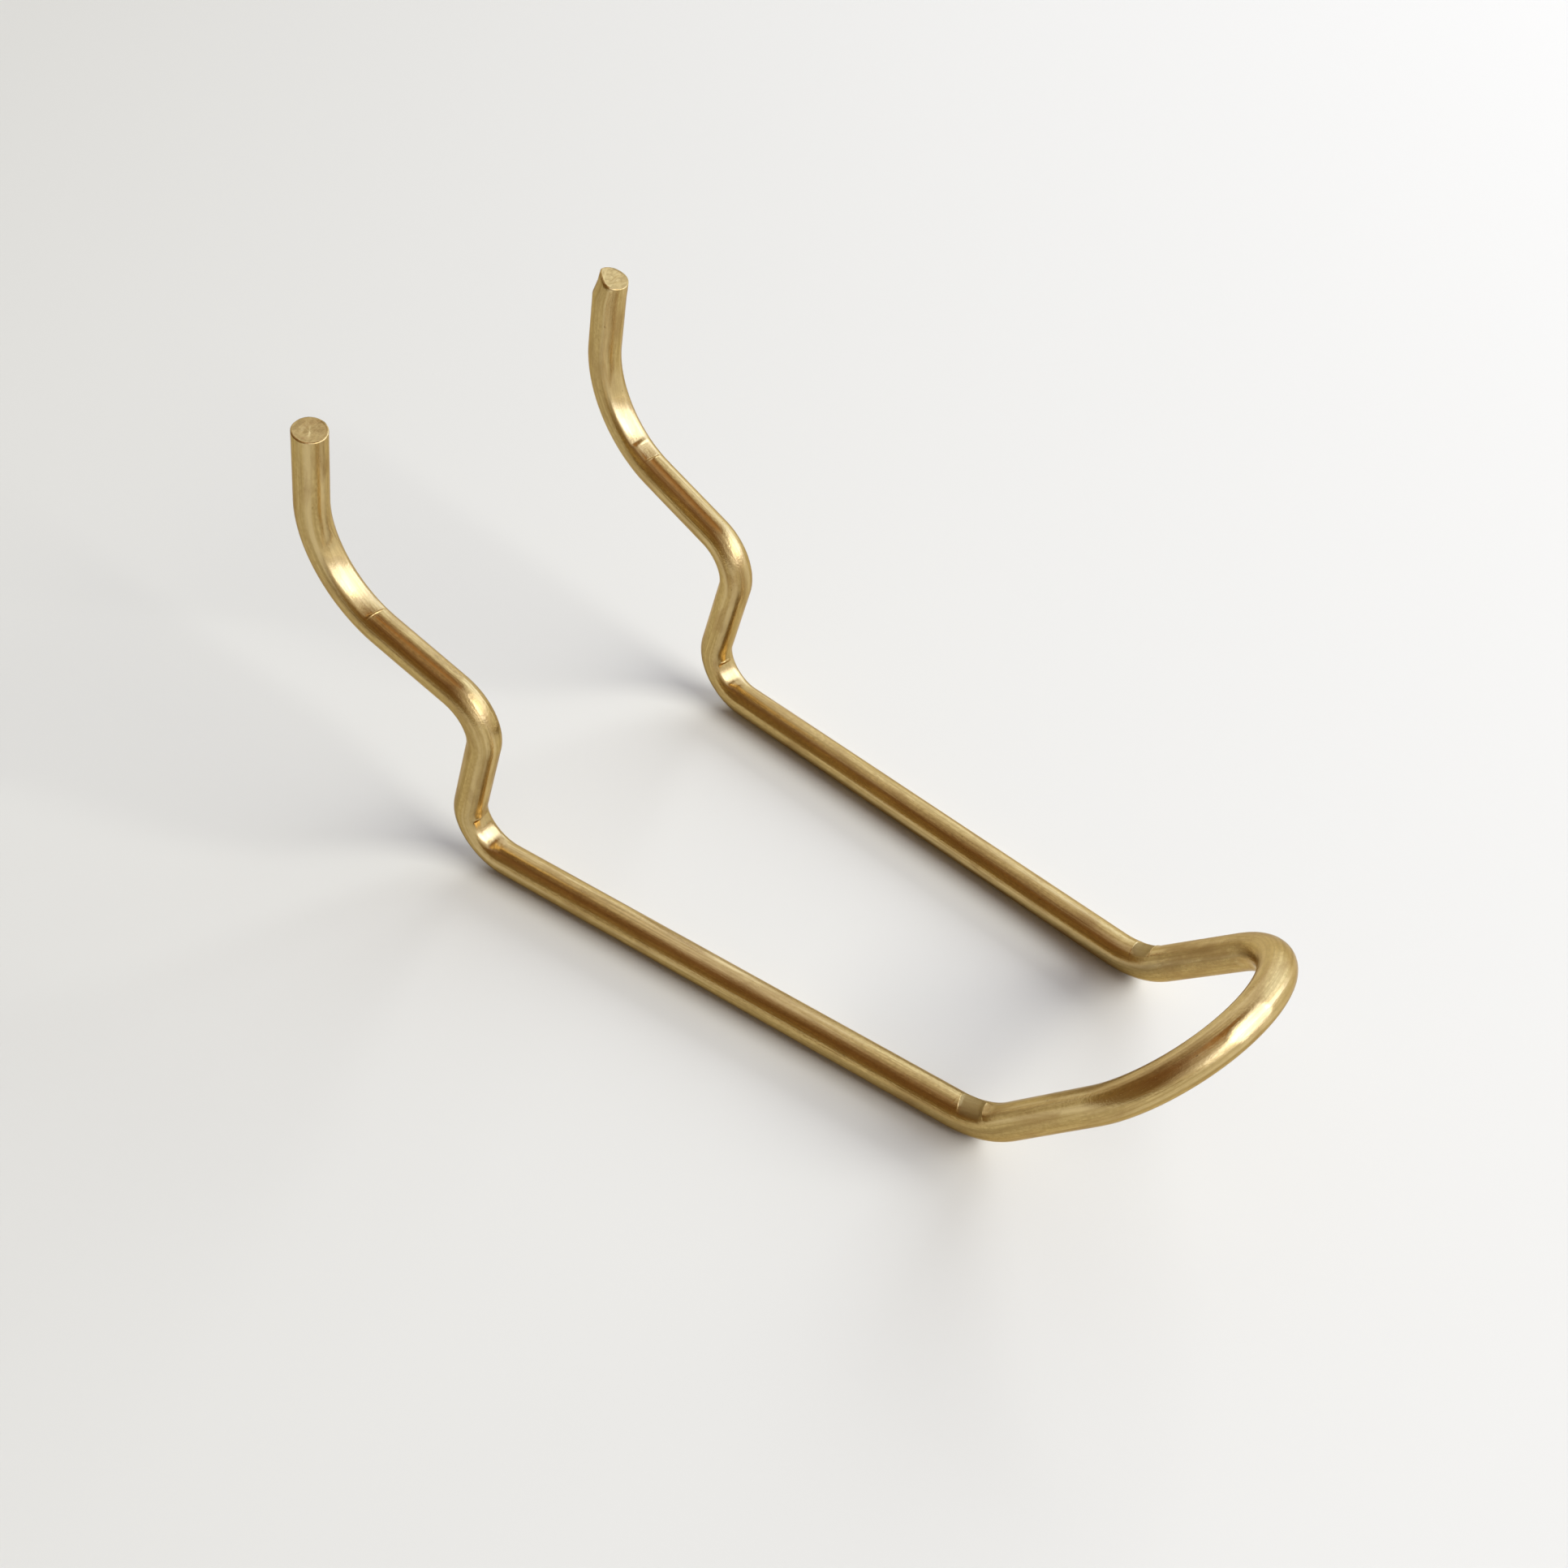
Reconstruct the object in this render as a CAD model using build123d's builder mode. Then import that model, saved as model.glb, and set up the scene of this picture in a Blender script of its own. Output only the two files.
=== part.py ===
"""Two-prong pegboard hook, bent from one length of round brass wire.

The wire starts at the left prong's tip, goes through the board, down the board's face, out
along the left arm, round the nose loop, and back the same way to the right prong's tip.

The hook lies on its two arms. +X points right, +Y from the nose towards the board and +Z up.
The origin is at the middle of the footprint, on the surface that the arms lie on.
Lengths are in millimetres and angles in degrees. Lengths along the wire run from corner to
corner of its centreline, before the corners are rounded.
"""

from build123d import *

import os
from math import cos, radians, sin, tan

# ---- Driving dimensions ----
wire_diameter = 5.0
hole_pitch = 50.8  # between the two board holes, 2 in

prong_reach = 34.0  # from the riser, through the board, to the upturned tip
tip_length = 26.5
riser_height = 30.5  # the stretch that stands against the board
arm_length = 93.0
right_arm_shortfall = 3.0  # bent by hand, the right arm falls a little short of the left
nose_reach = 35.5  # from the front bend to the front of the loop

arm_splay = 4.6  # each arm's angle from straight ahead, wider towards the board
arm_rise = 21.0  # between the arms and the prongs, so that a hung arm points upward
tip_turn = 84.0  # from the prong up to its tip
nose_rise = 45.5  # of the nose loop above the arms

bend_radius = 6.5  # of the centreline at the foot and the shoulder of each riser
tip_bend_radius = 15.5
nose_bend_radius = 12.0

shear_tilt = 12.0  # the right tip is cut off a little askew
shear_heading = -35.0  # the way its cut face slopes down, measured from +X
pinch_depth = 0.75  # what the cutters squeezed off the same tip's high side
pinch_slope = 20.0  # of that flat from the wire's axis

# ---- Derived sizes ----
wire_radius = wire_diameter / 2
right_arm_length = arm_length - right_arm_shortfall
riser_angle = 90 + arm_rise  # square to the prong
tip_angle = tip_turn + arm_rise

# The arms converge on the nose at the splay angle, from prongs that are one hole pitch apart
# halfway along. The loop takes the largest round that fits between them.
prong_middle = (
    (arm_length + right_arm_length) / 2
    + riser_height * cos(radians(riser_angle))
    + prong_reach / 2 * cos(radians(arm_rise))
)
front_half_width = hole_pitch / 2 - prong_middle * sin(radians(arm_splay))
nose_radius = (
    front_half_width * cos(radians(arm_splay)) - nose_reach * sin(radians(arm_splay))
) / (1 - sin(radians(arm_splay)))


def reach_back(arm_run):
    """How far behind the front bend the back of a leg's tip bend lies, along its arm."""
    tip_corner = (
        arm_run
        + riser_height * cos(radians(riser_angle))
        + prong_reach * cos(radians(arm_rise))
    )
    bend_start = tip_corner - tip_bend_radius * tan(radians(tip_turn / 2)) * cos(radians(arm_rise))
    return bend_start + tip_bend_radius * (1 - sin(radians(arm_rise)))


# The front bends lie where the footprint is centred on the origin.
left_back = reach_back(arm_length)
right_back = reach_back(right_arm_length)
back_y = max(left_back, right_back) * cos(radians(arm_splay))
nose_y = nose_reach * cos(radians(nose_rise))
loop_centre = Vector(
    (left_back - right_back) * sin(radians(arm_splay)) / 2,
    (nose_y - back_y) / 2,
    wire_radius,
)

# ---- Centreline ----
loop_plane = Plane(
    origin=loop_centre,
    x_dir=(1, 0, 0),
    z_dir=(0, -sin(radians(nose_rise)), -cos(radians(nose_rise))),
)


def leg_corners(side, arm_run, tip_run):
    """Corners of one leg, from its tip to the front bend. side is -1 on the left, 1 on the right."""
    along = Vector(side * sin(radians(arm_splay)), cos(radians(arm_splay)), 0)
    leg_plane = Plane(
        origin=loop_centre + Vector(side * front_half_width, 0, 0),
        x_dir=along,
        z_dir=along.cross(Vector(0, 0, 1)),
    )
    foot = Vector(arm_run, 0)
    shoulder = foot + Vector(riser_height, 0).rotate(Axis.Z, riser_angle)
    tip_corner = shoulder + Vector(prong_reach, 0).rotate(Axis.Z, arm_rise)
    tip = tip_corner + Vector(tip_run, 0).rotate(Axis.Z, tip_angle)
    corners = (tip, tip_corner, shoulder, foot, Vector(0, 0))
    return [leg_plane.from_local_coords(corner) for corner in corners]


def loop_tangent(side):
    """Where one side of the nose loop runs into its round front."""
    outward = side * nose_radius * cos(radians(arm_splay))
    forward = nose_reach - nose_radius * (1 - sin(radians(arm_splay)))
    return loop_plane.from_local_coords(Vector(outward, forward))


shear_allowance = wire_radius * tan(radians(shear_tilt))  # wire to spare for the askew cut
leg_radii = [tip_bend_radius, bend_radius, bend_radius, nose_bend_radius]
left_leg = leg_corners(-1, arm_length, tip_length)
right_leg = leg_corners(1, right_arm_length, tip_length + shear_allowance)
nose_front = loop_plane.from_local_coords(Vector(0, nose_reach))

# ---- Cutting planes at the right tip ----
right_tip_axis = (right_leg[0] - right_leg[1]).normalized()
right_tip = Plane(
    origin=right_leg[0] - right_tip_axis * shear_allowance,
    x_dir=(cos(radians(shear_heading)), sin(radians(shear_heading)), 0),
    z_dir=right_tip_axis,
)
high_side = right_tip.from_local_coords(Vector(pinch_depth - wire_radius, 0, shear_allowance))
shear_cut = right_tip.rotated((0, shear_tilt, 0))
pinch_cut = Plane(origin=high_side, x_dir=right_tip.x_dir, z_dir=right_tip.z_dir).rotated(
    (0, pinch_slope - 90, 0)
)
cutter_span = 2 * wire_diameter

# ---- Hook ----
with BuildPart() as hook_wire:
    with BuildLine() as centreline:
        FilletPolyline(*left_leg, loop_tangent(-1), radius=leg_radii)
        ThreePointArc(loop_tangent(-1), nose_front, loop_tangent(1))
        FilletPolyline(loop_tangent(1), *reversed(right_leg), radius=list(reversed(leg_radii)))
    with BuildSketch(Plane(origin=left_leg[0], z_dir=left_leg[1] - left_leg[0])):
        Circle(wire_radius)
    sweep(path=centreline.wire())

    with BuildSketch(shear_cut):
        Rectangle(cutter_span, cutter_span)
    extrude(amount=cutter_span, mode=Mode.SUBTRACT)

    with BuildSketch(pinch_cut):
        Rectangle(cutter_span, cutter_span)
    extrude(amount=cutter_span, mode=Mode.SUBTRACT)

# ---- Export ----
os.makedirs("parts", exist_ok=True)
hook_wire.part.label = "hook_wire"
export_step(hook_wire.part, "parts/hook_wire.step")
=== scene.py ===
from math import atan2, cos, pi, radians, sin, tan

import bpy
import numpy as np
from mathutils import Matrix, Vector


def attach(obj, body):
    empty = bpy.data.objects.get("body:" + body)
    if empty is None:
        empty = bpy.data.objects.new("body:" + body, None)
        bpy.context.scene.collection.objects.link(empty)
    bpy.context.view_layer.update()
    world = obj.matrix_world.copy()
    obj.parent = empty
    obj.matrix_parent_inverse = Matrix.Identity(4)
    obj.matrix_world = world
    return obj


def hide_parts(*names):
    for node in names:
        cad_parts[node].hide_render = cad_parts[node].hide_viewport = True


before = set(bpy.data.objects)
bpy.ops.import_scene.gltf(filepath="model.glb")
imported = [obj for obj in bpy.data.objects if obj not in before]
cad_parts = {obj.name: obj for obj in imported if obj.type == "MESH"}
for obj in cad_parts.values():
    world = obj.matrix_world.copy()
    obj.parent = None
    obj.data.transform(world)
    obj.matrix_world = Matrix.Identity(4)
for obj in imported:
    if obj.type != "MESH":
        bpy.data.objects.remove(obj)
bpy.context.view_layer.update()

# Two-prong pegboard hook, bent from one length of round brass wire, lying on its two arms.
# The wire is drawn again here with what working it left behind: flats where the bending pins
# pressed it, ridges and nicks beside them, faint drawing lines, and two sheared tips.
# The frame is the CAD's: +X right, +Y from the nose towards the board, +Z up, in metres.

MM = 0.001

# ---- Driving dimensions, the same as the part's ----
wire_diameter = 5.0 * MM
hole_pitch = 50.8 * MM
prong_reach = 34.0 * MM
tip_length = 26.5 * MM
riser_height = 30.5 * MM
arm_length = 93.0 * MM
right_arm_shortfall = 3.0 * MM
nose_reach = 35.5 * MM
arm_splay = radians(4.6)
arm_rise = radians(21.0)
tip_turn = radians(84.0)
nose_rise = radians(45.5)
bend_radius = 6.5 * MM
tip_bend_radius = 15.5 * MM
nose_bend_radius = 12.0 * MM
shear_tilt = radians(12.0)
shear_heading = radians(-35.0)
pinch_depth = 0.75 * MM
pinch_slope = radians(20.0)

# ---- Derived sizes, worked out as the part works them out ----
wire_radius = wire_diameter / 2
right_arm_length = arm_length - right_arm_shortfall
riser_angle = pi / 2 + arm_rise
tip_angle = tip_turn + arm_rise
mean_arm = (arm_length + right_arm_length) / 2
prong_middle = mean_arm + riser_height * cos(riser_angle) + prong_reach / 2 * cos(arm_rise)
front_half_width = hole_pitch / 2 - prong_middle * sin(arm_splay)
nose_width = front_half_width * cos(arm_splay) - nose_reach * sin(arm_splay)
nose_radius = nose_width / (1 - sin(arm_splay))
shear_allowance = wire_radius * tan(shear_tilt)


def reach_back(arm_run):
    """How far behind the front bend the back of a leg's tip bend lies, along its arm."""
    tip_corner = arm_run + riser_height * cos(riser_angle) + prong_reach * cos(arm_rise)
    bend_start = tip_corner - tip_bend_radius * tan(tip_turn / 2) * cos(arm_rise)
    return bend_start + tip_bend_radius * (1 - sin(arm_rise))


left_back = reach_back(arm_length)
right_back = reach_back(right_arm_length)
back_y = max(left_back, right_back) * cos(arm_splay)
loop_centre = Vector((
    (left_back - right_back) * sin(arm_splay) / 2,
    (nose_reach * cos(nose_rise) - back_y) / 2,
    wire_radius,
))

# ---- Marks of the making ----
pin_press = 0.36 * MM  # how deep the pins flattened the inside of a bend
foot_press = 0.50 * MM
front_press = 0.56 * MM
mandrel_press = 0.16 * MM  # on the inside of the nose loop
nose_facet = 0.20 * MM  # on its outside, where the loop was pushed home
step_length = 0.15 * MM  # of the step at a flat's end
step_share = 0.22  # of the flat's depth
ridge_height = 0.05 * MM  # metal pushed up beside the step
ridge_length = 0.18 * MM
flute_depth = 0.007 * MM  # of the drawing lines
flute_drift = 0.9  # radians round the wire that they wander to either side
lip_share = 0.35  # of a nick's depth, raised beside it
lip_offset = 1.6  # of a nick's width, from its middle to its lip
rim_roll = 0.22 * MM  # of a tip's edge on the side that the cutters pressed
rim_break = 0.05 * MM  # of the same edge elsewhere
burr_height = 0.07 * MM
burr_width = 0.09 * MM
pinch_round = 1.2 * MM  # of the squeezed side's corner
tip_zone = 3.0 * MM  # how far below its cut a tip is changed
cap_drop = 0.02 * MM  # of a cut face inside its rim
cap_step = 0.08 * MM  # between its cut part and its torn part
cap_scar = 0.09 * MM
cap_hollow = 0.04 * MM  # of its middle
step_waver = 0.18  # of the step's line to either side; this and the next four are in wire radii
step_width = 0.16
scar_place = -0.25
scar_width = 0.10
scar_half_length = 0.5
nearly_flat = 0.01 * MM  # a flat's depth below which the wire counts as round
full_polish = 0.10 * MM  # the depth at which a flat's finish is complete
flat_reach = radians(75)  # farthest round the wire from a flat's middle that it is worked out
scrape_from = 14.0 * MM  # beyond the nose's middle
scrape_to = 4.6 * MM  # before the right front bend's middle
scrape_ease = 3.0 * MM
stretch_ease = 2.0 * MM

# ---- Mesh ----
sides = 96
straight_step = 1.7 * MM
bend_step = 0.30 * MM
mark_step = 0.07 * MM
tip_step = 0.10 * MM
tip_margin = 0.7 * MM  # how far from a tip the rings are tip_step apart
mark_margin = 0.55 * MM  # how far from a step or a nick they are mark_step apart
bend_margin = 1.0 * MM  # how far past a bend they are bend_step apart
least_share = 0.35  # of one ring's step that the next may shrink to
cap_rings = 12
cap_spacing = 0.8  # below 1, a cut face's rings are closer near its rim

# ---- Camera: where the photographer stood ----
view_azimuth = radians(-46.01)
view_elevation = radians(43.31)
view_roll = radians(3.19)
view_distance = 305.6 * MM
view_aim = Vector((15.56 * MM, 21.86 * MM, 0))
lens_length = 45.42
sensor_width = 36.0


# ==== Centreline ====
def leg_corners(side, arm_run, tip_run):
    """Corners of one leg, from its tip to the front bend. side is -1 on the left, 1 on the right."""
    along = Vector((side * sin(arm_splay), cos(arm_splay), 0))
    up = Vector((0, 0, 1))

    def step(length, angle):
        return along * (length * cos(angle)) + up * (length * sin(angle))

    front = loop_centre + Vector((side * front_half_width, 0, 0))
    foot = front + step(arm_run, 0)
    shoulder = foot + step(riser_height, riser_angle)
    tip_corner = shoulder + step(prong_reach, arm_rise)
    tip = tip_corner + step(tip_run, tip_angle)
    return [tip, tip_corner, shoulder, foot, front]


def loop_point(outward, forward):
    """A point of the nose loop's plane, which rises from the front bends."""
    ahead = Vector((0, -cos(nose_rise), sin(nose_rise)))
    return loop_centre + Vector((outward, 0, 0)) + ahead * forward


def straight_run(start, end):
    """A straight length of the centreline."""
    heading = (end - start).normalized()
    return {
        "name": "",
        "length": (end - start).length,
        "point": lambda d: start + heading * d,
        "heading": lambda d: heading,
    }


def bend_run(name, start, heading, inward, radius, turn):
    """A round bend of the centreline. inward points from its start to its centre."""

    def point(d):
        angle = d / radius
        return start + (heading * sin(angle) + inward * (1 - cos(angle))) * radius

    def heading_at(d):
        angle = d / radius
        return heading * cos(angle) + inward * sin(angle)

    def inward_at(d):
        angle = d / radius
        return inward * cos(angle) - heading * sin(angle)

    return {
        "name": name,
        "length": radius * turn,
        "radius": radius,
        "point": point,
        "heading": heading_at,
        "inward": inward_at,
    }


def rounded_runs(corners, radii, names):
    """Straight lengths and bends along a line of corners."""
    runs = []
    start = corners[0]
    for before, corner, after, radius, name in zip(corners, corners[1:], corners[2:], radii, names):
        heading = (corner - before).normalized()
        leaving = (after - corner).normalized()
        turn = heading.angle(leaving)
        inward = (leaving - heading * leaving.dot(heading)).normalized()
        bend_start = corner - heading * (radius * tan(turn / 2))
        runs.append(straight_run(start, bend_start))
        runs.append(bend_run(name, bend_start, heading, inward, radius, turn))
        start = corner + leaving * (radius * tan(turn / 2))
    runs.append(straight_run(start, corners[-1]))
    return runs


def wire_runs():
    """The whole centreline, from the left tip to the right tip."""
    tangent_out = nose_radius * cos(arm_splay)
    tangent_ahead = nose_reach - nose_radius * (1 - sin(arm_splay))
    left = leg_corners(-1, arm_length, tip_length) + [loop_point(-tangent_out, tangent_ahead)]
    right = leg_corners(1, right_arm_length, tip_length) + [loop_point(tangent_out, tangent_ahead)]
    radii = [tip_bend_radius, bend_radius, bend_radius, nose_bend_radius]
    places = ["tip", "shoulder", "foot", "front"]
    runs = rounded_runs(left, radii, ["left " + place for place in places])
    heading = (left[-1] - left[-2]).normalized()
    nose_middle = loop_point(0, nose_reach - nose_radius)
    inward = (nose_middle - left[-1]).normalized()
    runs.append(bend_run("nose", left[-1], heading, inward, nose_radius, pi - 2 * arm_splay))
    right_names = ["right " + place for place in reversed(places)]
    runs += rounded_runs(list(reversed(right)), list(reversed(radii)), right_names)
    return runs


def bend_middles(runs):
    """How far along the wire each bend's middle lies."""
    middles = {}
    travelled = 0
    for run in runs:
        if run["name"]:
            middles[run["name"]] = travelled + run["length"] / 2
        travelled += run["length"]
    return middles, travelled


# ==== Tool marks ====
def press(
    bend, start, end, depth, entry, leave, turn=0.0, slant=0.0, soft=0.05, level=1.0, finish="rubbed"
):
    """A flat on a bend. start and end are from the bend's middle, towards the nose.

    entry and leave are how long its two ends slope: past a small step, or with none where they
    are negative. turn is how far round from the inside of the bend it lies, and slant is how far
    its ends move along for each radian round the wire. soft rounds its long edges, and level is
    1 where it is flat across and less where it stays a little round. finish is rubbed where the
    tool left it smooth, and scuffed where it left it dull."""
    return {
        "bend": bend,
        "start": start * MM,
        "end": end * MM,
        "depth": depth,
        "entry": entry * MM,
        "leave": leave * MM,
        "turn": radians(turn),
        "slant": slant * MM,
        "soft": soft * MM,
        "level": level,
        "finish": finish,
    }


def tool_flats():
    """Every flat that the bending tools left, bend by bend."""
    return [
        press("left tip", -8.2, 9.3, pin_press, -5.0, 0.35, 4, -0.5, 0.08, 0.6),
        press("right tip", -8.8, 6.6, pin_press * 1.1, -6.5, -0.8, -2, 0.2, 0.08, 0.6),
        press("right tip", 6.0, 9.9, pin_press * 0.85, -0.4, 0.35, 0, -0.4, 0.05, 0.8),
        press("left shoulder", -3.8, 3.6, foot_press * 0.7, -0.8, 1.4, 0, 0.5, 0.10),
        press("right shoulder", -3.4, 3.8, foot_press * 0.7, 1.4, -0.8, 3, -0.4, 0.10),
        press("left foot", -4.3, 5.4, foot_press * 0.9, 0.9, -3.0, 5, 0.3, 0.18, 0.75),
        press("right foot", -3.1, 4.2, foot_press * 0.8, 0.8, -2.0, 0, -0.3, 0.18, 0.75),
        press("left front", -3.6, 1.1, front_press * 0.50, 0.6, 0.9, 5, 0.9, 0.16, 0.5, "scuffed"),
        press("left front", 0.5, 4.0, front_press * 0.3, -0.6, -1.8, 4, 0.0, 0.08),
        press("right front", -0.8, 3.6, front_press * 0.38, 1.1, 1.4, 2, 0.5, 0.16, 0.5, "scuffed"),
        press("nose", -22.8, 23.0, mandrel_press, -1.4, -1.8, 0, 0.4),
        press("nose", -5.4, 0.8, nose_facet, -1.4, -0.9, 177, 0.3, 0.15, 0.8),
    ]


def nick(bend, place, turn, length, lean, width, depth):
    """A short groove. place is from the bend's middle, towards the nose, and lean from across."""
    return {
        "bend": bend,
        "place": place * MM,
        "turn": radians(turn),
        "length": length * MM,
        "lean": radians(lean),
        "width": width * MM,
        "depth": depth * MM,
    }


def tool_nicks():
    """Grooves and dents where the wire was gripped and slid."""
    return [
        nick("left tip", 9.5, 6, 1.2, -14, 0.13, 0.05),
        nick("left foot", 3.6, 30, 1.5, 34, 0.12, 0.025),
        nick("left foot", 4.3, 2, 1.7, 28, 0.13, 0.03),
        nick("left foot", 5.0, 16, 0.9, 24, 0.12, 0.02),
        nick("left front", -4.2, 18, 1.4, -8, 0.12, 0.02),
        nick("right front", 4.1, -10, 1.7, 8, 0.12, 0.03),
        nick("right foot", -3.6, -10, 1.6, -14, 0.13, 0.05),
        nick("right foot", 4.3, 12, 0.9, 30, 0.12, 0.025),
        nick("right tip", 9.8, 8, 1.2, -14, 0.13, 0.05),
        nick("left shoulder", 11.1, -114, 0.2, 0, 0.14, 0.06),
        nick("left shoulder", -4.4, 20, 1.4, 10, 0.13, 0.05),
        nick("right shoulder", 4.2, -12, 1.5, -12, 0.13, 0.05),
    ]


def along_wire(middles, bend, distance):
    """A place given from a bend's middle towards the nose, as a distance from the left tip."""
    nose_is_ahead = bend.startswith("left") or bend == "nose"
    return middles[bend] + (distance if nose_is_ahead else -distance)


def side_of(bend):
    """1 where the wire runs towards the nose and -1 where it runs back from it."""
    return -1 if bend.startswith("right") else 1


def smooth(t):
    """0 below 0, 1 above 1, and an even ramp between."""
    t = np.clip(t, 0, 1)
    return t * t * (3 - 2 * t)


def wrap(angle):
    """The same angle between minus pi and pi."""
    return (angle + pi) % (2 * pi) - pi


# ==== Stations along the wire ====
def station_step(travelled, bends, places, total):
    """How far apart the rings lie there: closer on bends, at marks and at the tips."""
    if min(travelled, total - travelled) < tip_margin:
        return tip_step
    if any(abs(travelled - place) < mark_margin for place in places):
        return mark_step
    for start, end in bends:
        if start - bend_margin < travelled < end + bend_margin:
            return bend_step
    return straight_step


def ring_places(runs, places, total):
    """Distances from the left tip of every ring."""
    bends = []
    travelled = 0
    for run in runs:
        if run["name"]:
            bends.append((travelled, travelled + run["length"]))
        travelled += run["length"]
    stations = [0.0]
    while stations[-1] < total:
        here = stations[-1]
        ahead = station_step(here, bends, places, total)
        look = station_step(min(here + ahead, total), bends, places, total)
        stations.append(here + min(ahead, max(look, least_share * ahead)))
    stations = [s for s in stations if s < total - tip_step / 2]
    return np.array(stations + [total])


def wire_frames(runs, stations):
    """Centre, heading and two untwisted cross directions of every ring."""
    starts = np.cumsum([0] + [run["length"] for run in runs])
    centres = []
    headings = []
    for s in stations:
        index = min(int(np.searchsorted(starts, s, side="right")) - 1, len(runs) - 1)
        run = runs[index]
        centres.append(run["point"](s - starts[index]))
        headings.append(run["heading"](s - starts[index]))
    across = []
    first = Vector((1, 0, 0))
    side = (first - headings[0] * first.dot(headings[0])).normalized()
    previous = headings[0]
    for heading in headings:
        side = previous.rotation_difference(heading) @ side
        side = (side - heading * side.dot(heading)).normalized()
        across.append(side.copy())
        previous = heading
    centres = np.array(centres)
    headings = np.array(headings)
    across = np.array(across)
    upright = np.cross(headings, across)
    return centres, headings, across, upright


def inside_angles(runs, stations, frames):
    """For each bend, the angle round the wire that points to its inside."""
    across, upright = frames[2:]
    angles = {}
    travelled = 0
    for run in runs:
        if run["name"]:
            middle = travelled + run["length"] / 2
            ring = int(np.argmin(abs(stations - middle)))
            inward = np.array(run["inward"](stations[ring] - travelled))
            angles[run["name"]] = atan2(inward @ upright[ring], inward @ across[ring])
        travelled += run["length"]
    return angles


# ==== Wire surface ====
def drawing_lines(s, angle):
    """Shallow flutes that the drawing die left, wandering a little round the wire."""
    depth = np.zeros(s.shape)
    for count, period, phase, share in (
        (5, 190, 0.4, 0.9),
        (9, 140, 2.1, 0.8),
        (13, 230, 4.4, 1.0),
        (19, 170, 1.3, 0.7),
        (27, 260, 5.2, 0.5),
    ):
        drift = flute_drift * np.sin(2 * pi * s / (period * MM) + phase)
        depth += share * (0.5 + 0.5 * np.cos(count * angle + drift + phase))
    return flute_depth * depth


def press_end(distance, ease):
    """Share of a flat's depth at a distance inside one of its ends: a small step, then a slope."""
    step = smooth(distance / step_length)
    return step * (step_share + (1 - step_share) * smooth(distance / ease))


def press_depth(flat, s, turn, middle, side):
    """How deep one flat is at each place, and the ridge of metal pushed up beside its steps."""
    place = (s - middle) * side - flat["slant"] * turn * side
    inside_start = place - flat["start"]
    inside_end = flat["end"] - place
    ridge = np.zeros(s.shape)
    shares = []
    for inside, ease in ((inside_start, flat["entry"]), (inside_end, flat["leave"])):
        if ease > 0:
            shares.append(press_end(inside, ease))
            ridge += np.exp(-(((inside / ridge_length + 0.5) / 0.5) ** 2))
        else:
            shares.append(smooth(inside / -ease))
    return flat["depth"] * np.minimum(*shares), ridge


def stretched_skin(s, angle, runs, insides):
    """How far the outside of each bend was stretched, which roughens its skin."""
    skin = np.zeros(s.shape)
    travelled = 0
    for run in runs:
        if run["name"]:
            start = travelled - stretch_ease
            end = travelled + run["length"] + stretch_ease
            within = smooth((s - start) / (2 * stretch_ease))
            within = within * smooth((end - s) / (2 * stretch_ease))
            tightness = min(1.0, bend_radius / run["radius"])
            outside = smooth(0.25 - np.cos(angle - insides[run["name"]]))
            skin = np.maximum(skin, within * outside * tightness)
        travelled += run["length"]
    return skin


def scraped_zone(s, middles):
    """Where the wire was dragged over the mandrel: from the right front bend into the nose."""
    start = middles["nose"] + scrape_from
    end = middles["right front"] - scrape_to
    return smooth((s - start) / (2 * scrape_ease)) * smooth((end - s) / scrape_ease)


def press_flats(radius, s, angle, middles, insides):
    """The radius with every flat pressed in, and how far each finish covers each place."""
    finishes = {"rubbed": np.zeros(s.shape), "scuffed": np.zeros(s.shape)}
    for flat in tool_flats():
        bend = flat["bend"]
        turn = wrap(angle - insides[bend] - flat["turn"])
        near = abs(turn) < flat_reach
        depth, ridge = press_depth(flat, s, turn, middles[bend], side_of(bend))
        reached = near & (depth > nearly_flat)
        cut = (wire_radius - depth) / np.where(near, np.cos(turn), 1) ** flat["level"]
        cut = soft_min(radius, cut, flat["soft"])
        share = np.where(reached, smooth((radius - cut) / full_polish), 0)
        finishes[flat["finish"]] = np.maximum(finishes[flat["finish"]], share)
        radius = np.where(reached, cut, radius)
        half_angle = np.arccos((1 - flat["depth"] / wire_radius) ** (1 / flat["level"]))
        crest = ridge_height * ridge * smooth(1.5 - abs(turn) / half_angle)
        radius = radius + np.where(near & ~reached, crest, 0)
    return radius, finishes


def nick_depth(mark, s, angle, middle, inside, side):
    """How deep one nick is at each place, with a lip on one side of it."""
    turn = wrap(angle - inside - mark["turn"])
    along = (s - middle) * side - mark["place"]
    around = turn * wire_radius
    across = along * cos(mark["lean"]) - around * sin(mark["lean"])
    length = along * sin(mark["lean"]) + around * cos(mark["lean"])
    beyond = np.maximum(abs(length) - mark["length"] / 2, 0)
    groove = np.exp(-((across / mark["width"]) ** 2) - (beyond / mark["width"]) ** 2)
    lip = np.exp(-(((across - lip_offset * mark["width"]) / mark["width"]) ** 2))
    lip = lip * np.exp(-((beyond / mark["width"]) ** 2))
    return mark["depth"] * (groove - lip_share * lip)


def wire_surface(s, angle, middles, insides):
    """Radius of the worked wire at each point, and where the flats are, by finish."""
    radius = wire_radius - drawing_lines(s, angle)
    radius, finishes = press_flats(radius, s, angle, middles, insides)
    for mark in tool_nicks():
        bend = mark["bend"]
        radius = radius - nick_depth(mark, s, angle, middles[bend], insides[bend], side_of(bend))
    return radius, finishes


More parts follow.
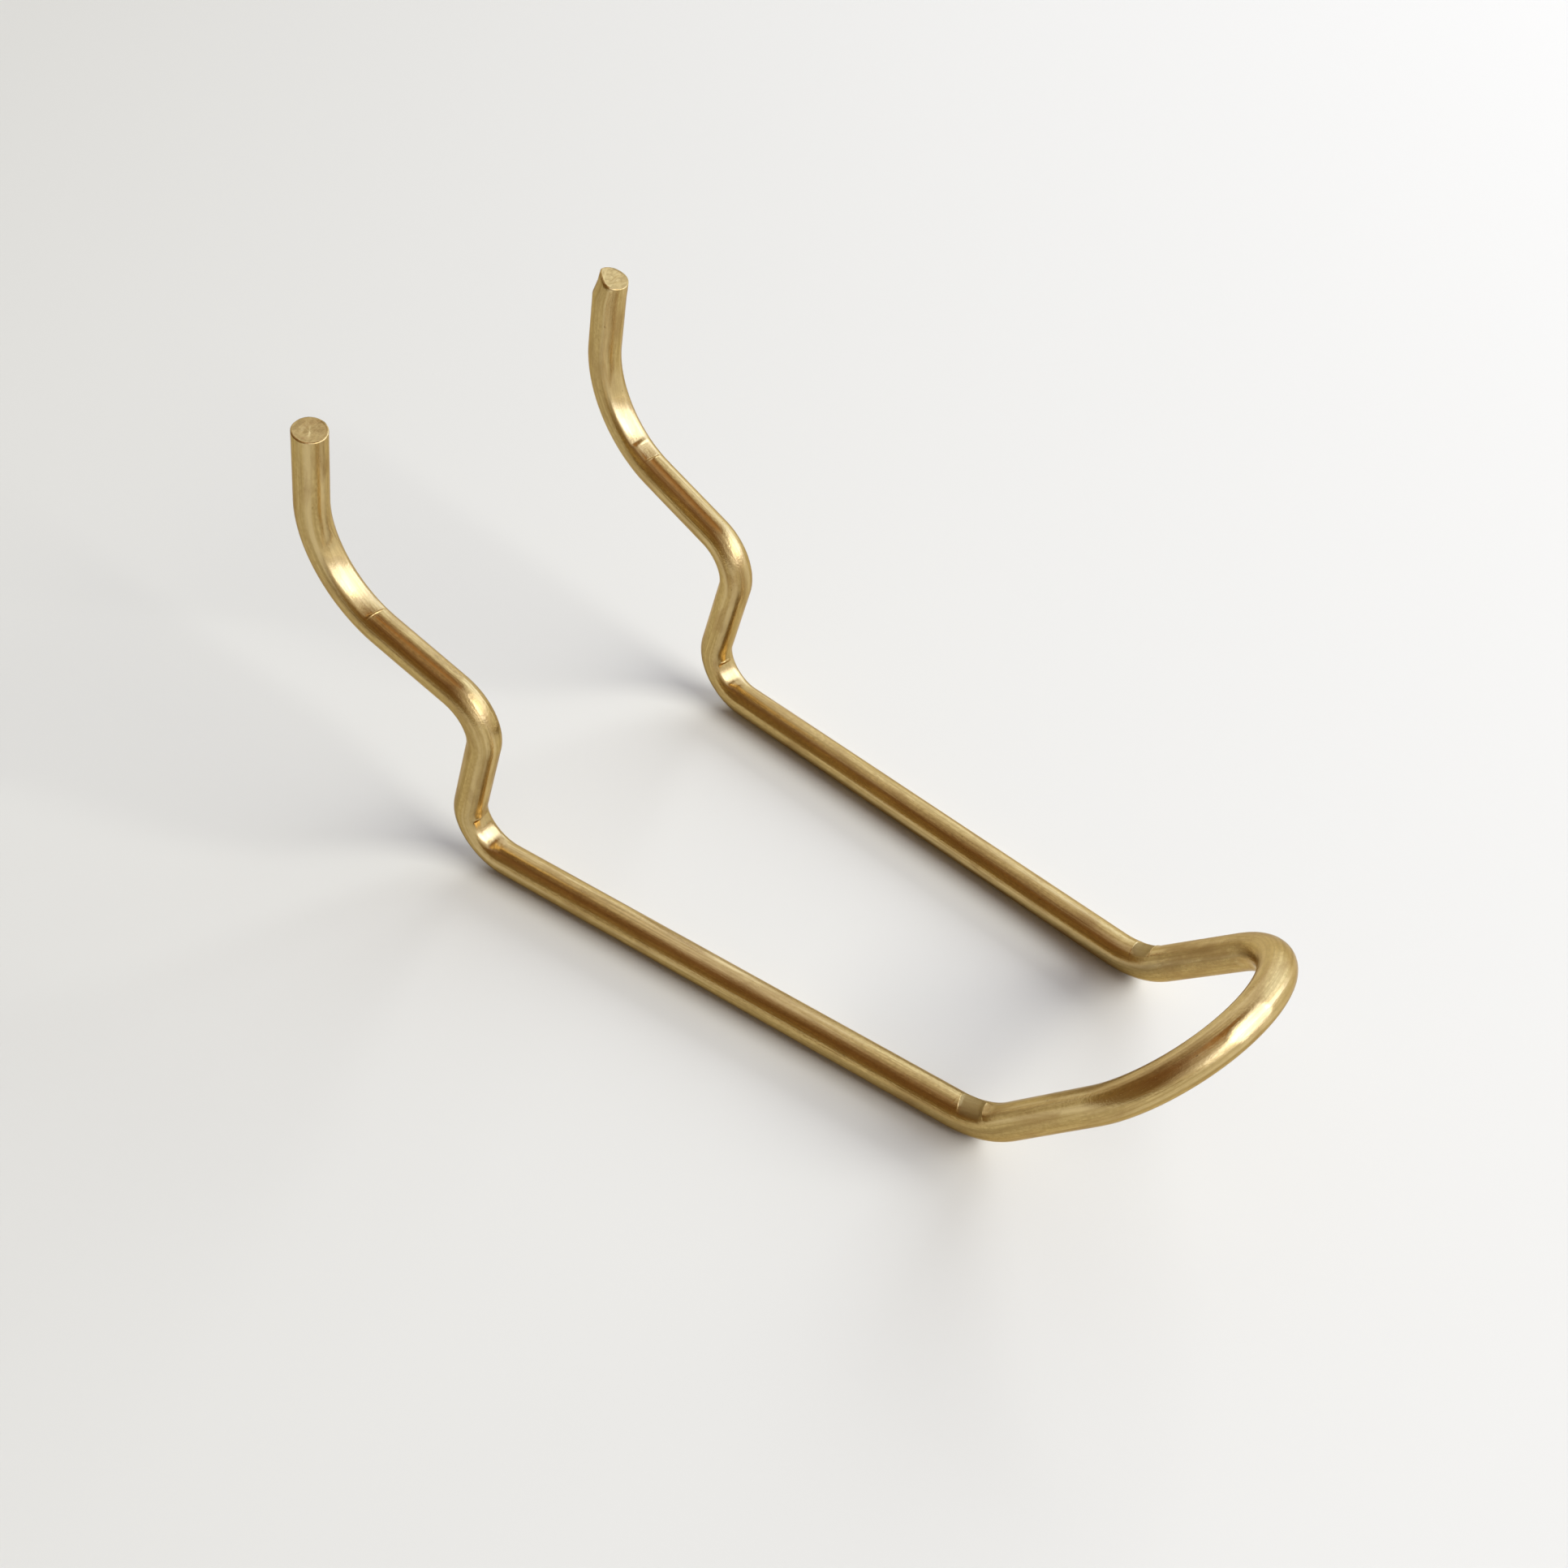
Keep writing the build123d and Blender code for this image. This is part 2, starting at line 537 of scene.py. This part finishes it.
# ==== Sheared tips ====
def tip_frame(centre, outward, toward):
    """A tip's centre, the way its cut falls, the level way across, and the way out of the wire."""
    fall = toward - outward * toward.dot(outward)
    fall.normalize()
    return centre, fall, outward.cross(fall), outward


def rim_inset(height, roll):
    """How far a rounded edge draws in, at a height above where the rounding starts."""
    lift = np.clip(height / roll, 0, 1)
    return roll * (1 - np.sqrt(np.clip(1 - lift ** 2, 0, 1)))


def soft_max(a, b, blend):
    """The larger of two values, with the corner between them rounded."""
    return (a + b + np.sqrt((a - b) ** 2 + blend ** 2)) / 2


def soft_min(a, b, blend):
    """The smaller of two values, with the corner between them rounded."""
    return (a + b - np.sqrt((a - b) ** 2 + blend ** 2)) / 2


def shape_tip(points, depth_in, origin, fall, level, outward, tilt, pinch, roll_from, burr_to):
    """Moves the rings near a tip so that they end on its cut face, with a rolled rim and a burr.

    depth_in is each ring's distance from the tip along the centreline. roll_from and burr_to are
    the ways round, from the way the cut falls, where the rim is rolled most and where it is torn."""
    local = points - np.array(origin)
    x = local @ np.array(fall)
    y = local @ np.array(level)
    z = -depth_in
    angle = np.arctan2(y, x)
    share = np.clip(1 + z / tip_zone, 0, 1)
    if pinch:
        limit = pinch_depth - wire_radius + (z - tan(tilt) * x - shear_allowance) * tan(pinch_slope)
        x = np.where(share > 0, soft_max(x, limit, pinch_round), x)
    z = z - share * tan(tilt) * x
    below = -tan(tilt) * x - z
    pressed_side = smooth(0.5 + 0.9 * np.cos(angle - roll_from))
    roll = rim_break + (rim_roll - rim_break) * pressed_side
    inset = rim_inset(roll - below, roll)
    burr_side = smooth(-0.35 + 1.4 * np.cos(angle - burr_to))
    burr = burr_height * burr_side * np.exp(-((below / burr_width) ** 2))
    reach = np.hypot(x, y)
    scale = (reach - inset * (1 - 0.8 * burr_side)) / reach
    x = x * scale
    y = y * scale
    z = z + burr
    moved = np.array(origin) + np.outer(x.ravel(), np.array(fall)).reshape(points.shape)
    moved = moved + y[..., None] * np.array(level) + z[..., None] * np.array(outward)
    return np.where(share[..., None] > 0, moved, points)


def cap_share(ring):
    """How far out a cut face's ring lies: 1 at the rim and 0 in the middle."""
    return (1 - ring / cap_rings) ** cap_spacing


def cap_points(rim, fall, level, outward, scar_angle):
    """Rings of a cut face, from just inside its rim to its middle, with the shear's scars."""
    middle = rim.mean(0)
    rows = []
    for ring in range(1, cap_rings + 1):
        share = cap_share(ring)
        row = middle + (rim - middle) * share
        x = (row - middle) @ np.array(fall) / wire_radius
        y = (row - middle) @ np.array(level) / wire_radius
        across = x * cos(scar_angle) + y * sin(scar_angle)
        along = y * cos(scar_angle) - x * sin(scar_angle)
        step = cap_step * smooth(0.5 + (across + step_waver * np.sin(4 * along)) / step_width)
        across_scar = (across - scar_place) / scar_width
        scar = cap_scar * np.exp(-(across_scar ** 2) - (along / scar_half_length) ** 2)
        drop = cap_drop + step + scar + cap_hollow * (1 - share)
        rows.append(row - drop[:, None] * np.array(outward))
    return rows


# ==== Wire mesh ====
def mark_places(middles):
    """Where the flats' steps and the nicks are, which need the closest rings."""
    places = [along_wire(middles, mark["bend"], mark["place"]) for mark in tool_nicks()]
    for flat in tool_flats():
        for edge, slope in (("start", "entry"), ("end", "leave")):
            if flat[slope] > 0:
                places.append(along_wire(middles, flat["bend"], flat[edge]))
    return places


def tip_frames(centres, headings):
    """The cut frames of the left tip and the right tip."""
    left_fall = Vector((-0.6, -0.8, 0))
    right_fall = Vector((cos(shear_heading), sin(shear_heading), 0))
    left = tip_frame(Vector(centres[0]), -Vector(headings[0]), left_fall)
    right = tip_frame(Vector(centres[-1]), Vector(headings[-1]), right_fall)
    return left, right


def wire_mesh():
    """The worked wire as one closed mesh, with the attributes that its brass reads."""
    runs = wire_runs()
    middles, total = bend_middles(runs)
    stations = ring_places(runs, mark_places(middles), total)
    frames = wire_frames(runs, stations)
    centres, headings, across, upright = frames
    insides = inside_angles(runs, stations, frames)
    angles = np.arange(sides) * 2 * pi / sides
    s, angle = np.meshgrid(stations, angles, indexing="ij")
    radius, worked = wire_surface(s, angle, middles, insides)
    worked["stretched"] = stretched_skin(s, angle, runs, insides)
    worked["scraped"] = scraped_zone(s, middles)
    round_way = np.cos(angle)[..., None] * across[:, None, :]
    round_way = round_way + np.sin(angle)[..., None] * upright[:, None, :]
    points = centres[:, None, :] + radius[..., None] * round_way

    left, right = tip_frames(centres, headings)
    points = shape_tip(points, s, *left, tilt=0.0, pinch=False, roll_from=0.2, burr_to=pi - 0.5)
    points = shape_tip(
        points, total - s, *right, tilt=shear_tilt, pinch=True, roll_from=pi, burr_to=-0.3
    )
    first_cap = cap_points(points[0], *left[1:], scar_angle=radians(55))
    last_cap = cap_points(points[-1], *right[1:], scar_angle=radians(110))
    return join_rings(points, first_cap, last_cap, s, angle, worked, total)


def ring_faces(count, start_pole, end_pole):
    """Faces between rings, and the two fans that close the ends."""
    lower = np.arange(count - 1)[:, None] * sides
    here = np.arange(sides)[None, :]
    after = (here + 1) % sides
    quads = np.stack([lower + here, lower + after, lower + sides + after, lower + sides + here], -1)
    faces = quads.reshape(-1, 4).tolist()
    top = (count - 1) * sides
    for k in range(sides):
        following = (k + 1) % sides
        faces.append([start_pole, following, k])
        faces.append([end_pole, top + k, top + following])
    return faces


def straight_places(s, angle, cap_rows, total):
    """Each vertex's place on the wire before it was bent, in millimetres."""
    straight = np.stack([np.cos(angle) * wire_radius, np.sin(angle) * wire_radius, s], -1) / MM
    shares = [cap_share(ring + 1) for ring in range(cap_rows)]
    first = [straight[0] * np.array([share, share, 1]) for share in reversed(shares)]
    last = [straight[-1] * np.array([share, share, 1]) for share in shares]
    poles = np.array([[0, 0, 0], [0, 0, total / MM]])
    return np.vstack([np.concatenate([*first, *straight, *last]), poles])


def join_rings(points, first_cap, last_cap, s, angle, worked, total):
    """The mesh over the side and both caps, with each vertex's attributes."""
    rows = [*reversed(first_cap[:-1]), *points, *last_cap[:-1]]
    cap_rows = len(first_cap) - 1
    side = slice(cap_rows * sides, (cap_rows + len(points)) * sides)
    vertices = np.concatenate(rows).reshape(-1, 3)
    start_pole = len(vertices)
    vertices = np.vstack([vertices, first_cap[-1][0], last_cap[-1][0]])
    cut = np.ones(len(vertices))
    cut[side] = 0
    mesh = bpy.data.meshes.new("wire")
    mesh.from_pydata(vertices.tolist(), [], ring_faces(len(rows), start_pole, start_pole + 1))
    add_attribute(mesh, "wire_place", "FLOAT_VECTOR", straight_places(s, angle, cap_rows, total))
    add_attribute(mesh, "cut", "FLOAT", cut)
    for name, values in worked.items():
        spread = np.zeros(len(vertices))
        spread[side] = values.ravel()
        add_attribute(mesh, name, "FLOAT", spread)
    mesh.validate()
    mesh.update()
    return mesh


def add_attribute(mesh, name, kind, values):
    """One value or vector on every vertex, for the material."""
    attribute = mesh.attributes.new(name, kind, "POINT")
    field = "vector" if kind == "FLOAT_VECTOR" else "value"
    attribute.data.foreach_set(field, np.asarray(values, np.float32).ravel())


# ==== Materials ====
class Nodes:
    """A small helper for building node trees."""

    def __init__(self, tree):
        self.tree = tree
        self.tree.nodes.clear()

    def add(self, kind, **values):
        node = self.tree.nodes.new(kind)
        for name, value in values.items():
            setattr(node, name, value)
        return node

    def link(self, source, target):
        self.tree.links.new(source, target)

    def attribute(self, name, output):
        node = self.add("ShaderNodeAttribute", attribute_name=name)
        return node.outputs[output]

    def math(self, operation, a, b):
        node = self.add("ShaderNodeMath", operation=operation)
        for socket, value in zip(node.inputs, (a, b)):
            if isinstance(value, (int, float)):
                socket.default_value = value
            else:
                self.link(value, socket)
        return node.outputs[0]

    def stretch(self, vector, scale, offset=(0, 0, 0)):
        node = self.add("ShaderNodeMapping")
        node.inputs["Scale"].default_value = scale
        node.inputs["Location"].default_value = offset
        self.link(vector, node.inputs["Vector"])
        return node.outputs[0]

    def noise(self, vector, detail=2.0, roughness=0.5, distortion=0.0):
        node = self.add("ShaderNodeTexNoise")
        node.inputs["Scale"].default_value = 1.0
        node.inputs["Detail"].default_value = detail
        node.inputs["Roughness"].default_value = roughness
        node.inputs["Distortion"].default_value = distortion
        self.link(vector, node.inputs["Vector"])
        return node.outputs[0]

    def remap(self, value, from_low, from_high, to_low, to_high):
        node = self.add("ShaderNodeMapRange", clamp=True)
        settings = (from_low, from_high, to_low, to_high)
        for name, setting in zip(("From Min", "From Max", "To Min", "To Max"), settings):
            node.inputs[name].default_value = setting
        self.link(value, node.inputs["Value"])
        return node.outputs[0]

    def toward(self, vector, direction):
        """How far a vector reaches in a direction."""
        node = self.add("ShaderNodeVectorMath", operation="DOT_PRODUCT")
        node.inputs[1].default_value = direction
        self.link(vector, node.inputs[0])
        return node.outputs["Value"]

    def ramp(self, value, stops):
        """Straight lines between (value, level) pairs."""
        low = stops[0][0]
        span = stops[-1][0] - low
        node = self.add("ShaderNodeValToRGB")
        elements = node.color_ramp.elements
        for position, level in stops[1:-1]:
            elements.new((position - low) / span)
        for element, (position, level) in zip(elements, stops):
            element.color = (level, level, level, 1)
        self.link(self.remap(value, low, stops[-1][0], 0, 1), node.inputs[0])
        return node.outputs[0]

    def mix(self, factor, a, b):
        node = self.add("ShaderNodeMix", data_type="RGBA")
        for socket, value in ((node.inputs[0], factor), (node.inputs[6], a), (node.inputs[7], b)):
            if isinstance(value, (tuple, int, float)):
                socket.default_value = value
            else:
                self.link(value, socket)
        return node.outputs[2]

    def bump(self, height, strength, distance, normal=None):
        node = self.add("ShaderNodeBump")
        node.inputs["Strength"].default_value = strength
        node.inputs["Distance"].default_value = distance
        self.link(height, node.inputs["Height"])
        if normal is not None:
            self.link(normal, node.inputs["Normal"])
        return node.outputs[0]


def brass_textures(n, place):
    """The patterns that the brass's colour, gloss and relief read, most drawn out along it."""
    return {
        "fine": n.noise(n.stretch(place, (3.4, 3.4, 0.06)), detail=5.0, roughness=0.65),
        "broad": n.noise(n.stretch(place, (0.9, 0.9, 0.022), (3, 7, 1))),
        "patches": n.noise(
            n.stretch(place, (0.5, 0.5, 0.13), (9, 2, 5)), detail=5.0, distortion=0.5
        ),
        "grain": n.noise(n.stretch(place, (8.0, 8.0, 3.5)), detail=4.0, roughness=0.7),
        "mottle": n.noise(n.stretch(place, (2.6, 2.6, 1.5), (7, 7, 2)), detail=4.0, roughness=0.6),
        "peel": n.noise(n.stretch(place, (4.2, 4.2, 4.2), (5, 1, 3))),
        "pits": n.noise(n.stretch(place, (2.2, 2.2, 1.5), (1, 4, 8)), detail=1.0),
        "rubs": n.noise(n.stretch(place, (1.4, 1.4, 0.5), (6, 3, 2)), detail=5.0),
        "smear": n.noise(n.stretch(place, (0.55, 1.1, 1.0), (2, 5, 0)), detail=4.0, distortion=1.5),
    }


def brass_colour(n, marks, textures):
    """Yellow brass with deeper streaks, browned patches, pale flats and dulled marks."""
    clean = (0.59, 0.432, 0.176, 1)
    deep = (0.41, 0.285, 0.105, 1)
    pale = (0.70, 0.540, 0.270, 1)
    browned = (0.37, 0.238, 0.092, 1)
    sheared = (0.60, 0.455, 0.195, 1)
    dull = (0.42, 0.300, 0.120, 1)
    greyed = (0.29, 0.205, 0.080, 1)
    speck = (0.18, 0.105, 0.040, 1)

    colour = n.mix(n.remap(textures["fine"], 0.44, 0.62, 0, 0.8), clean, deep)
    colour = n.mix(n.remap(textures["mottle"], 0.42, 0.62, 0, 0.6), colour, deep)
    colour = n.mix(n.remap(textures["broad"], 0.48, 0.66, 0, 0.75), colour, pale)
    colour = n.mix(n.remap(textures["patches"], 0.48, 0.70, 0, 0.65), colour, browned)
    colour = n.mix(n.math("MULTIPLY", marks["rubbed"], 0.35), colour, pale)
    rubs = n.remap(textures["rubs"], 0.35, 0.60, 0.1, 0.6)
    colour = n.mix(n.math("MULTIPLY", marks["scraped"], rubs), colour, browned)
    colour = n.mix(n.math("MULTIPLY", marks["scuffed"], 0.85), colour, greyed)
    colour = n.mix(n.remap(textures["pits"], 0.765, 0.80, 0, 0.6), colour, speck)
    cut_colour = n.mix(n.remap(textures["smear"], 0.42, 0.64, 0, 0.8), sheared, dull)
    return n.mix(marks["cut"], colour, cut_colour)


def brass_roughness(n, marks, textures):
    """Satin, glossier where a tool rubbed it, and duller where it was scuffed, scraped or cut."""
    roughness = n.remap(textures["fine"], 0.35, 0.7, 0.15, 0.24)
    roughness = n.math("ADD", roughness, n.remap(textures["patches"], 0.45, 0.75, 0.0, 0.07))
    roughness = n.math("ADD", roughness, n.remap(textures["grain"], 0.35, 0.7, -0.02, 0.04))
    for mark, change in (("rubbed", -0.09), ("scuffed", 0.22), ("scraped", 0.10), ("cut", 0.20)):
        roughness = n.math("ADD", roughness, n.math("MULTIPLY", marks[mark], change))
    return roughness


def brass_relief(n, marks, textures):
    """Drawing lines, mottling and grain, and a rough skin on the outside of the bends."""
    relief = n.bump(textures["fine"], 0.32, 0.05 * MM)
    relief = n.bump(textures["broad"], 0.30, 0.20 * MM, relief)
    relief = n.bump(textures["mottle"], 0.30, 0.06 * MM, relief)
    relief = n.bump(textures["grain"], 0.34, 0.03 * MM, relief)
    skin = n.math("MULTIPLY", textures["peel"], marks["stretched"])
    return n.bump(skin, 0.55, 0.06 * MM, relief)


def brass():
    """Raw drawn brass, with what drawing, bending and cutting left on it."""
    material = bpy.data.materials.new("drawn_brass")
    material.use_nodes = True
    n = Nodes(material.node_tree)
    textures = brass_textures(n, n.attribute("wire_place", "Vector"))
    names = ("cut", "rubbed", "scuffed", "stretched", "scraped")
    marks = {name: n.attribute(name, "Fac") for name in names}
    shader = n.add("ShaderNodeBsdfPrincipled")
    shader.inputs["Metallic"].default_value = 1.0
    shader.inputs["IOR"].default_value = 1.5
    shader.inputs["Specular Tint"].default_value = (0.78, 0.67, 0.50, 1)
    n.link(brass_colour(n, marks, textures), shader.inputs["Base Color"])
    n.link(brass_roughness(n, marks, textures), shader.inputs["Roughness"])
    n.link(brass_relief(n, marks, textures), shader.inputs["Normal"])
    output = n.add("ShaderNodeOutputMaterial")
    n.link(shader.outputs[0], output.inputs["Surface"])
    return material


def floor_paint():
    """Matt white with painted shade: a little greyer towards the left, and grey far out on the left.
    """
    # Painted shade: the floor is greyer on the left and whiter on the right, standing in for the
    # window light falling off across it.
    left = (0.70, 0.70, 0.652, 1)
    right = (0.855, 0.862, 0.838, 1)
    # Painted shade: far out on the left the floor turns grey, standing in for a shaded floor that
    # the brass mirrors there.
    painted_shade_far = (0.40, 0.375, 0.33, 1)
    material = bpy.data.materials.new("floor_white")
    material.use_nodes = True
    n = Nodes(material.node_tree)
    place = n.add("ShaderNodeTexCoord").outputs["Object"]
    across = n.toward(place, bearing(136, 0))
    paint = n.mix(n.remap(across, -0.2, 0.2, 0, 1), left, right)
    away = n.toward(place, bearing(-100, 0))
    paint = n.mix(n.remap(away, 0.16, 0.36, 0, 1), paint, painted_shade_far)
    shader = n.add("ShaderNodeBsdfPrincipled")
    n.link(paint, shader.inputs["Base Color"])
    shader.inputs["Roughness"].default_value = 0.9
    shader.inputs["Specular IOR Level"].default_value = 0.2
    output = n.add("ShaderNodeOutputMaterial")
    n.link(shader.outputs[0], output.inputs["Surface"])
    return material


# ==== Studio ====
# Bearings are degrees from +Y towards +X, and elevations are degrees above the floor.
window_azimuth = 166
window_elevation = 34
far_window_azimuth = 92
far_window_elevation = 20
lamp_distance = 5.0  # from the hook
floor_half = 3.0
fill_share = 0.40  # of the room's light that matt surfaces get, beside the lamps'


def make_floor():
    """A plain pale floor under the arms."""
    corners = [(x * floor_half, y * floor_half, 0) for x, y in ((-1, -1), (1, -1), (1, 1), (-1, 1))]
    mesh = bpy.data.meshes.new("floor")
    mesh.from_pydata(corners, [], [(0, 1, 2, 3)])
    floor = bpy.data.objects.new("floor", mesh)
    floor.data.materials.append(floor_paint())
    bpy.context.scene.collection.objects.link(floor)


def bearing(azimuth, elevation):
    """A direction, its azimuth measured from +Y towards +X."""
    a = radians(azimuth)
    e = radians(elevation)
    return Vector((sin(a) * cos(e), cos(a) * cos(e), sin(e)))


def make_lamp(name, toward, width, height, energy, colour):
    """A soft lamp that faces the hook. Metal mirrors the room's bright side in its place."""
    light = bpy.data.lights.new(name, "AREA")
    light.shape = "RECTANGLE"
    light.size = width
    light.size_y = height
    light.energy = energy
    light.color = colour
    lamp = bpy.data.objects.new(name, light)
    lamp.visible_glossy = False
    lamp.location = toward * lamp_distance
    lamp.rotation_mode = "QUATERNION"
    lamp.rotation_quaternion = toward.to_track_quat("Z", "Y")
    bpy.context.scene.collection.objects.link(lamp)


def make_windows():
    """The light of two windows: a near one on the right, and a wider one farther round."""
    make_lamp(
        "near_window",
        bearing(window_azimuth, window_elevation),
        width=3.0,
        height=1.45,
        energy=230.0,
        colour=(1.0, 0.985, 0.94),
    )
    make_lamp(
        "far_window",
        bearing(far_window_azimuth, far_window_elevation),
        width=4.25,
        height=2.25,
        energy=204.0,
        colour=(0.98, 1.0, 1.03),
    )


def bright_side(n, way, height):
    """How brightly the room is lit there: more towards its windows, less along the floor."""
    lit = n.ramp(n.toward(way, bearing(116, -20)), (
        (-0.80, 0.0),
        (-0.72, 0.04),
        (-0.60, 0.15),
        (-0.43, 0.27),
        (-0.23, 0.37),
        (-0.02, 0.47),
        (0.19, 0.56),
        (0.36, 0.66),
        (0.46, 0.77),
        (0.65, 0.84),
    ))
    lit = n.math("MULTIPLY", lit, n.remap(height, 0.0, 0.4, 0.76, 1))
    under_window = n.remap(n.toward(way, bearing(150, -12)), 0.78, 0.90, 1, 0.55)
    return n.math("MULTIPLY", lit, under_window)


def window_glow(n, way, height):
    """How much of what shows there is the near window's soft glow."""
    across = n.ramp(n.toward(way, bearing(157, 0)), (
        (0.36, 0.0),
        (0.56, 0.08),
        (0.64, 0.35),
        (0.69, 0.90),
        (0.74, 1.0),
    ))
    above_sill = n.ramp(height, (
        (0.0, 0.02),
        (0.10, 0.10),
        (0.16, 0.35),
        (0.23, 0.90),
        (0.30, 1.0),
    ))
    return n.math("MULTIPLY", across, above_sill)


def below_ceiling(n, way):
    """1 on the walls, falling towards 0 overhead, where no window's light shows."""
    return n.ramp(n.toward(way, bearing(112, 82)), (
        (0.84, 1.0),
        (0.885, 0.86),
        (0.92, 0.62),
        (0.945, 0.36),
        (0.965, 0.15),
        (0.98, 0.05),
    ))


def room_colour(n, way, height):
    """The room all round: dim warm walls and ceiling, a bright side, and a glowing window."""
    low_wall = (0.30, 0.21, 0.10, 1)
    high_wall = (0.235, 0.125, 0.055, 1)
    far_ceiling = (0.34, 0.15, 0.03, 1)
    near_ceiling = (0.50, 0.27, 0.10, 1)
    half_lit = (1.90, 1.95, 2.0, 1)
    fully_lit = (1.90, 2.25, 3.2, 1)
    glow = (2.5, 2.65, 3.5, 1)
    pane = (5.0, 5.0, 5.0, 1)

    wall = n.mix(n.remap(height, 0.15, 0.75, 0, 1), low_wall, high_wall)
    ceiling = n.remap(n.toward(way, bearing(-150, 0)), -0.3, 0.2, 0, 1)
    ceiling = n.mix(ceiling, far_ceiling, near_ceiling)
    colour = n.mix(n.remap(height, 0.93, 0.975, 0, 1), wall, ceiling)
    walls_only = below_ceiling(n, way)
    lit = n.math("MULTIPLY", bright_side(n, way, height), walls_only)
    colour = n.mix(lit, colour, n.mix(n.remap(lit, 0.3, 0.9, 0, 1), half_lit, fully_lit))
    glowing = n.math("MULTIPLY", window_glow(n, way, height), walls_only)
    colour = n.mix(glowing, colour, glow)
    in_window = n.toward(way, bearing(window_azimuth, window_elevation))
    return n.mix(n.remap(in_window, 0.968, 0.991, 0, 1), colour, pane)


def make_room():
    """A room that metal mirrors and the camera sees in full, and that fills the shadows."""
    world = bpy.data.worlds.new("room")
    world.use_nodes = True
    bpy.context.scene.world = world
    n = Nodes(world.node_tree)
    way = n.add("ShaderNodeTexCoord").outputs["Generated"]
    parts = n.add("ShaderNodeSeparateXYZ")
    n.link(way, parts.inputs[0])
    rays = n.add("ShaderNodeLightPath").outputs
    seen = n.math("MAXIMUM", rays["Is Camera Ray"], rays["Is Glossy Ray"])
    seen = n.math("MAXIMUM", seen, rays["Is Transmission Ray"])
    room = n.add("ShaderNodeBackground")
    n.link(room_colour(n, way, parts.outputs["Z"]), room.inputs["Color"])
    n.link(n.remap(seen, 0, 1, fill_share, 1), room.inputs["Strength"])
    output = n.add("ShaderNodeOutputWorld")
    n.link(room.outputs[0], output.inputs["Surface"])


def make_camera():
    """The photograph's view: from the front left, looking down, a little turned."""
    ahead = Vector((
        -sin(view_azimuth) * cos(view_elevation),
        cos(view_azimuth) * cos(view_elevation),
        -sin(view_elevation),
    ))
    right = ahead.cross(Vector((0, 0, 1))).normalized()
    down = ahead.cross(right)
    turned_right = right * cos(view_roll) + down * sin(view_roll)
    turned_down = down * cos(view_roll) - right * sin(view_roll)
    camera = bpy.data.cameras.new("camera")
    camera.lens = lens_length
    camera.sensor_width = sensor_width
    camera.clip_start = 10 * MM
    viewer = bpy.data.objects.new("camera", camera)
    axes = Matrix((turned_right, -turned_down, -ahead)).transposed()
    place = view_aim - ahead * view_distance
    viewer.matrix_world = Matrix.Translation(place) @ axes.to_4x4()
    bpy.context.scene.collection.objects.link(viewer)
    bpy.context.scene.camera = viewer


def make_wire():
    """The hook itself, in place of its plain solid."""
    mesh = wire_mesh()
    mesh.materials.append(brass())
    mesh.polygons.foreach_set("use_smooth", [True] * len(mesh.polygons))
    wire = bpy.data.objects.new("brass_hook", mesh)
    bpy.context.scene.collection.objects.link(wire)
    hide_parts("hook_wire")
    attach(wire, "root")


make_wire()
make_floor()
make_windows()
make_room()
make_camera()
bpy.context.scene.view_settings.view_transform = "Standard"
